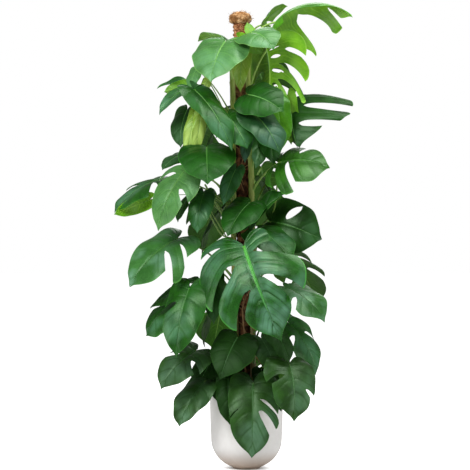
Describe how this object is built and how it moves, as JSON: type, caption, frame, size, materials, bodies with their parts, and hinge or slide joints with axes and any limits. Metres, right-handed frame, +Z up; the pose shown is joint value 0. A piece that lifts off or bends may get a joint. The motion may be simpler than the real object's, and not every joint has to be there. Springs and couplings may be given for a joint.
{
  "type": "potted climbing plant",
  "caption": "Potted swiss cheese plant climbing a coir pole, with large slotted leaves, in a round-bottomed white pot.",
  "frame": {"origin": "centre of the pot's flat base, on the floor", "axes": "+Z up along the plant's height, -Y towards the front, where the largest leaf hangs, +X to the viewer's right"},
  "size_m": [0.7813, 0.5817, 1.5441],
  "materials": {
    "white_pot": "matt white",
    "potting_soil": "damp and crumbly",
    "pole_tube": "plain",
    "coir_sleeve": "coarse coconut fibre",
    "coir_head": "loose coconut fibre",
    "twine": "twisted netting twine",
    "stem": "smooth green bark with leaf scars",
    "leaf_dark": "waxy, dark",
    "leaf_middle": "waxy",
    "leaf_pale": "waxy, young",
    "leaf_olive": "underside, satin"
  },
  "bodies": {
    "root": {"leaf_back_bottom": "leaf_middle", "leaf_back_centre": "leaf_dark", "leaf_back_crown": "leaf_middle", "leaf_back_dark": "leaf_dark", "leaf_back_left": "leaf_middle", "leaf_back_low": "leaf_dark", "leaf_back_right": "leaf_middle", "leaf_back_top_left": "leaf_pale", "leaf_back_top_right": "leaf_pale", "leaf_beside_great": "leaf_dark", "leaf_centre_dark": "leaf_dark", "leaf_centre_small": "leaf_middle", "leaf_crown_front": "leaf_pale", "leaf_crown_left": "leaf_pale", "leaf_crown_narrow": "leaf_middle", "leaf_far_left": "leaf_dark", "leaf_front_heart": "leaf_dark", "leaf_great": "leaf_middle", "leaf_left_diamond": "leaf_middle", "leaf_left_forked": "leaf_pale", "leaf_left_front": "leaf_middle", "leaf_left_hanging": "leaf_dark", "leaf_left_holes": "leaf_dark", "leaf_left_lime": "leaf_dark", "leaf_left_long": "leaf_middle", "leaf_left_shield": "leaf_middle", "leaf_low_centre": "leaf_dark", "leaf_low_left": "leaf_middle", "leaf_low_middle": "leaf_middle", "leaf_low_right": "leaf_middle", "leaf_mid_centre": "leaf_middle", "leaf_mid_hanging": "leaf_pale", "leaf_mid_right_blue": "leaf_middle", "leaf_mid_right_dark": "leaf_dark", "leaf_pot_front": "leaf_middle", "leaf_pot_left": "leaf_dark", "leaf_right_arched": "leaf_middle", "leaf_right_fingers": "leaf_dark", "leaf_right_front": "leaf_middle", "leaf_right_inner": "leaf_dark", "leaf_right_lifted": "leaf_olive", "leaf_right_low": "leaf_olive", "leaf_right_slots": "leaf_middle", "leaf_right_square": "leaf_middle", "leaf_right_upward": "leaf_dark", "leaf_side_left_high": "leaf_dark", "leaf_side_left_low": "leaf_middle", "leaf_side_right_high": "leaf_dark", "leaf_side_right_low": "leaf_dark", "leaf_side_right_middle": "leaf_middle", "leaf_top_right": "leaf_middle", "pole_coir": "coir_sleeve", "pole_head": "coir_head", "pole_tube": "pole_tube", "pole_twine": "twine", "pot": "white_pot", "soil": "potting_soil", "stem_back": "stem", "stem_left": "stem", "stem_right": "stem"}
  },
  "joints": []
}
